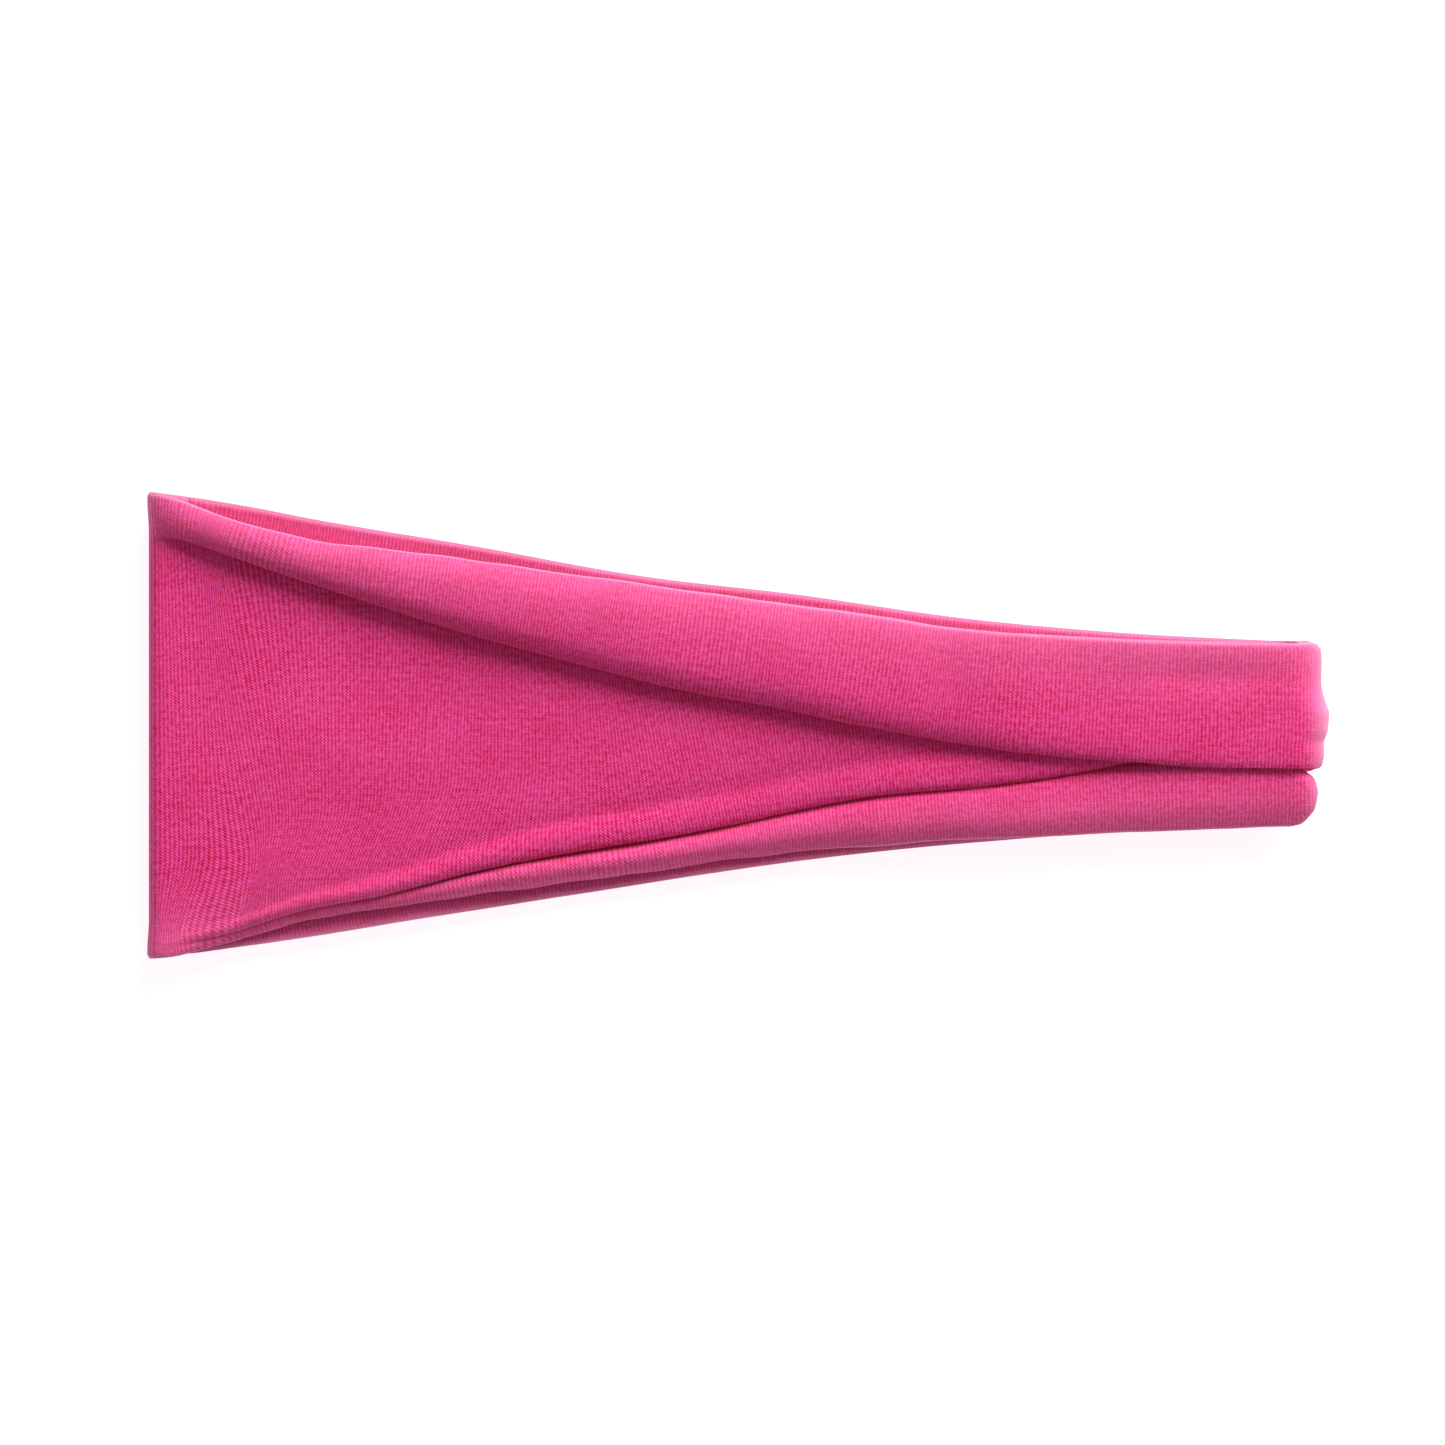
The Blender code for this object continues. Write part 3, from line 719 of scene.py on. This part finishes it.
    # The painted sheen and painted highlights mix the knit towards the pale colour.
    knit = graph.mix(painted_light_share, knit, (*painted_sheen, 1.0))
    graph.wire(knit, graph.shader.inputs["Base Color"])
    graph.wire(graph.math("MULTIPLY_ADD", height, -0.2, 0.95), graph.shader.inputs["Roughness"])

    bump = graph.tree.nodes.new("ShaderNodeBump")
    bump.inputs["Distance"].default_value = STITCH_RELIEF * MM
    bump.inputs["Strength"].default_value = 0.6
    graph.wire(height, bump.inputs["Height"])
    graph.wire(bump.outputs[0], graph.shader.inputs["Normal"])
    graph.shader.inputs["Specular IOR Level"].default_value = 0.15
    graph.shader.inputs["Sheen Weight"].default_value = 0.18
    graph.shader.inputs["Sheen Roughness"].default_value = 0.4
    graph.shader.inputs["Sheen Tint"].default_value = (0.5, 0.75, 1.0, 1.0)
    return graph.material


outer_ply = lay_ply("outer_ply", 1)
# The pale pink of the painted sheen and painted highlights.
PAINTED_SHEEN_PINK = (1.0, 0.45, 0.68)
face_jersey = jersey("face_jersey", lit=(0.95, 0.105, 0.43), shaded=(0.62, 0.001, 0.05), painted_sheen=PAINTED_SHEEN_PINK)
outer_ply.data.materials.append(face_jersey)
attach(outer_ply, "root")
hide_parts("outer_panel")

# ------------------------------------------------------------------------------------------------- the lining
# The ply against the head: a second strip of the same jersey, cut as the first. It shows as a thin strip
# above and below the near half, where the far half looks out from under it.
lining = lay_ply("lining_ply", -1)
lining_jersey = jersey("lining_jersey", lit=(0.93, 0.102, 0.42), shaded=(0.61, 0.001, 0.049), painted_sheen=PAINTED_SHEEN_PINK)
lining.data.materials.append(lining_jersey)
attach(lining, "root")
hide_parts("lining_panel")

# ------------------------------------------------------------------------------------ the edge seams' threads
# Each edge is sewn by two spun polyester threads of three strands, hidden between the plies. The needle thread
# runs along the seam, and the looper thread swings to and fro over the cut edges of the cloth.
THREAD = 0.35
THREAD_SIDES = 6
NEEDLE_DEPTH = 2.4
LOOPER_DEPTH = 1.1
STITCH = 2.5
LOOPER_SWING = 0.35
NEEDLE_WAVE = 0.08
POINTS_PER_STITCH = 6
ENDS_APART = 0.3
TWIST = 1.1
STRANDS = 3
STRAND_RELIEF = 0.04
GROOVE = 0.45


def band_at(runs, depths):
    """Points of the band's middle, and its normals, at lengths round the loop and depths across it."""
    station = np.interp(runs, loop_run, np.arange(len(loop_run)))
    row = np.interp(depths, ROWS, np.arange(len(ROWS)))
    first_station = np.minimum(station.astype(int), len(loop_run) - 2)
    first_row = np.minimum(row.astype(int), len(ROWS) - 2)
    past_station = (station - first_station)[:, None]
    past_row = (row - first_row)[:, None]
    readings = []
    for field in (surface, normals):
        near_row = field[first_station, first_row] * (1 - past_station)
        near_row = near_row + field[first_station + 1, first_row] * past_station
        next_row = field[first_station, first_row + 1] * (1 - past_station)
        next_row = next_row + field[first_station + 1, first_row + 1] * past_station
        readings.append(near_row * (1 - past_row) + next_row * past_row)
    return readings


def spun_thread(name, color):
    """Twisted strands, seen as fine slanting ridges along the thread, with painted shade in the grooves
    between them.
    """
    graph = Graph(name)
    lay = graph.tree.nodes.new("ShaderNodeUVMap")
    lay.uv_map = "twist"
    parts = graph.tree.nodes.new("ShaderNodeSeparateXYZ")
    graph.wire(lay.outputs[0], parts.inputs[0])
    slant = graph.math("MULTIPLY_ADD", parts.outputs["Y"], STRANDS, parts.outputs["X"])
    strand = graph.math("COSINE", graph.math("MULTIPLY", slant, 2 * math.pi))
    ridge = graph.math("MULTIPLY_ADD", strand, 0.5, 0.5)
    fibres = graph.add("ShaderNodeTexNoise", "Fac", Vector=lay.outputs[0], Scale=6.0, Detail=2.0)
    fibres = graph.math("MULTIPLY", fibres, 0.4)
    shade = graph.math("ADD", graph.math("MULTIPLY", ridge, 0.6), fibres, clamp=True)
    # The grooves are painted darker, as painted shade.
    groove = tuple(channel * GROOVE for channel in color)
    graph.wire(graph.mix(shade, (*groove, 1.0), (*color, 1.0)), graph.shader.inputs["Base Color"])
    graph.wire(graph.math("MULTIPLY_ADD", ridge, -0.15, 0.6), graph.shader.inputs["Roughness"])
    bump = graph.tree.nodes.new("ShaderNodeBump")
    bump.inputs["Distance"].default_value = STRAND_RELIEF * MM
    graph.wire(ridge, bump.inputs["Height"])
    graph.wire(bump.outputs[0], graph.shader.inputs["Normal"])
    graph.shader.inputs["Sheen Weight"].default_value = 0.2
    return graph.material


seam_thread = spun_thread("sewing_thread", (0.74, 0.035, 0.19))


def lay_thread(name, path, outwards):
    """A round thread along a path: a narrow strip, rolled up lengthwise, with its open ends filled.

    The fill caps both ends of some threads, and joins the two ends of others to each other.
    """
    ahead = np.gradient(path, axis=0)
    ahead /= np.linalg.norm(ahead, axis=1)[:, None]
    sideways = np.cross(ahead, outwards)
    sideways /= np.linalg.norm(sideways, axis=1)[:, None]
    upwards = np.cross(sideways, ahead)
    run = np.concatenate([[0.0], np.cumsum(np.linalg.norm(np.diff(path, axis=0), axis=1))])
    piece, step, side = flat_strip(name, len(path), THREAD_SIDES + 1)
    angle = 2 * math.pi * side / THREAD_SIDES
    ring = np.cos(angle)[:, None] * sideways[step] + np.sin(angle)[:, None] * upwards[step]
    twist = np.stack([run[step] / TWIST, side / THREAD_SIDES], axis=1)
    lay_strip(piece, path[step] + THREAD / 2 * ring, "twist", twist)

    bpy.ops.object.mode_set(mode="EDIT")
    bpy.ops.mesh.select_all(action="SELECT")
    bpy.ops.mesh.remove_doubles(threshold=0.001 * MM)
    bpy.ops.mesh.select_all(action="DESELECT")
    bpy.ops.mesh.select_mode(type="EDGE")
    bpy.ops.mesh.select_non_manifold()
    bpy.ops.mesh.fill()
    bpy.ops.mesh.select_all(action="SELECT")
    bpy.ops.mesh.normals_make_consistent(inside=False)
    bpy.ops.object.mode_set(mode="OBJECT")
    bpy.ops.object.shade_smooth_by_angle(angle=math.radians(70))
    piece.data.materials.append(seam_thread)
    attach(piece, "root")
    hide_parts(name.replace("_spun", "_thread"))
    return piece


def edge_thread(name, depth_at, lift_at):
    """A thread all the way round the loop, at a depth and a lift that change with its phase in the stitch."""
    stitches = int(loop_run[-1] / STITCH)
    phase = np.linspace(0.0, 2 * math.pi * stitches, stitches * POINTS_PER_STITCH + 1)
    runs = np.linspace(ENDS_APART, loop_run[-1] - ENDS_APART, len(phase))
    points, outwards = band_at(runs, depth_at(phase))
    return lay_thread(name, points + lift_at(phase)[:, None] * outwards, outwards)


for edge, near_edge in (("upper", lambda depth: depth), ("lower", lambda depth: BAND_WIDTH - depth)):
    edge_thread(
        f"{edge}_edge_needle_spun",
        lambda phase: near_edge(NEEDLE_DEPTH + 0 * phase),
        lambda phase: NEEDLE_WAVE * np.cos(phase),
    )
    edge_thread(
        f"{edge}_edge_looper_spun",
        lambda phase: near_edge(LOOPER_DEPTH + LOOPER_SWING * np.cos(phase)),
        lambda phase: NEEDLE_WAVE * np.sin(phase),
    )

# ------------------------------------------------------------------------------------- the end seam's threads
# The strips' ends are joined across the band by a thread for each ply. The lining's seam was left open over
# 40 mm, to turn the band right side out, and that gap is closed by hand with a slip stitch.
SEAM_THREAD_INSET = 0.9
SEAM_ENDS = 3.0
TURNING_GAP = (40.0, 80.0)
BESIDE_GAP = 0.5
END_STITCH = 2.5
SLIP_STITCH = 4.0


def end_thread(name, from_seam_x, start, end, stitch):
    """A thread across the band beside the end seam, from one depth to another."""
    stitches = int((end - start) / stitch)
    phase = np.linspace(0.0, 2 * math.pi * stitches, stitches * POINTS_PER_STITCH + 1)
    depths = np.linspace(start, end, len(phase))
    run = from_seam_x if from_seam_x > 0 else loop_run[-1] + from_seam_x
    points, outwards = band_at(np.full(len(phase), run), depths)
    return lay_thread(name, points + (NEEDLE_WAVE * np.cos(phase))[:, None] * outwards, outwards)


end_thread("outer_end_seam_spun", SEAM_THREAD_INSET, SEAM_ENDS, BAND_WIDTH - SEAM_ENDS, END_STITCH)
end_thread("lining_end_seam_spun", -SEAM_THREAD_INSET, SEAM_ENDS, TURNING_GAP[0] - BESIDE_GAP, END_STITCH)
gap_start = TURNING_GAP[0] + BESIDE_GAP
end_thread("closing_stitch_spun", -SEAM_THREAD_INSET, gap_start, TURNING_GAP[1], SLIP_STITCH)

# ------------------------------------------------------------------------------------ the floor and the light
# A plain pale floor under the band, a large soft light behind it and to the right, and an even sky.
FLOOR_SIZE = 6.0
FLOOR_BELOW = 0.0001
FLOOR_GLOW = 0.82
bpy.ops.object.select_all(action="DESELECT")
bpy.ops.mesh.primitive_plane_add(size=FLOOR_SIZE, location=(0.0, 0.0, cad_box[0][2] - FLOOR_BELOW))
floor = bpy.context.object
floor.name = "floor"
paper = bpy.data.materials.new("pale_floor")
paper.use_nodes = True
finish = paper.node_tree.nodes["Principled BSDF"].inputs
finish["Base Color"].default_value = (0.45, 0.45, 0.46, 1.0)
finish["Roughness"].default_value = 0.9
finish["Emission Color"].default_value = (1.0, 1.0, 1.0, 1.0)
finish["Emission Strength"].default_value = FLOOR_GLOW
floor.data.materials.append(paper)

KEY_PLACE = (0.50, 1.00, 0.74)
KEY_SIZE = 0.9
KEY_WATTS = 25.5
SKY_STRENGTH = 0.33
bpy.ops.object.light_add(type="AREA", location=KEY_PLACE)
key = bpy.context.object
key.name = "key_light"
key.data.shape = "RECTANGLE"
key.data.size = KEY_SIZE
key.data.size_y = KEY_SIZE
key.data.energy = KEY_WATTS
key.rotation_euler = (Vector((0, 0, 0)) - key.location).to_track_quat("-Z", "Y").to_euler()

world = bpy.data.worlds.new("studio")
bpy.context.scene.world = world
world.use_nodes = True
world.node_tree.nodes["Background"].inputs["Color"].default_value = (0.95, 0.96, 1.0, 1.0)
world.node_tree.nodes["Background"].inputs["Strength"].default_value = SKY_STRENGTH

# The camera looks straight down, from far enough off that the band shows no perspective.
VIEW_WIDTH = 0.2939
LENS = 150.0
SENSOR = 36.0
VIEW_CENTRE = (-0.0028, 0.0005, 0.009)
DISTANCE = VIEW_WIDTH * LENS / SENSOR
bpy.ops.object.camera_add(location=(VIEW_CENTRE[0], VIEW_CENTRE[1], VIEW_CENTRE[2] + DISTANCE))
camera = bpy.context.object
camera.rotation_euler = (0.0, 0.0, 0.0)
camera.data.lens = LENS
camera.data.sensor_width = SENSOR
bpy.context.scene.camera = camera
bpy.context.scene.view_settings.view_transform = "Standard"
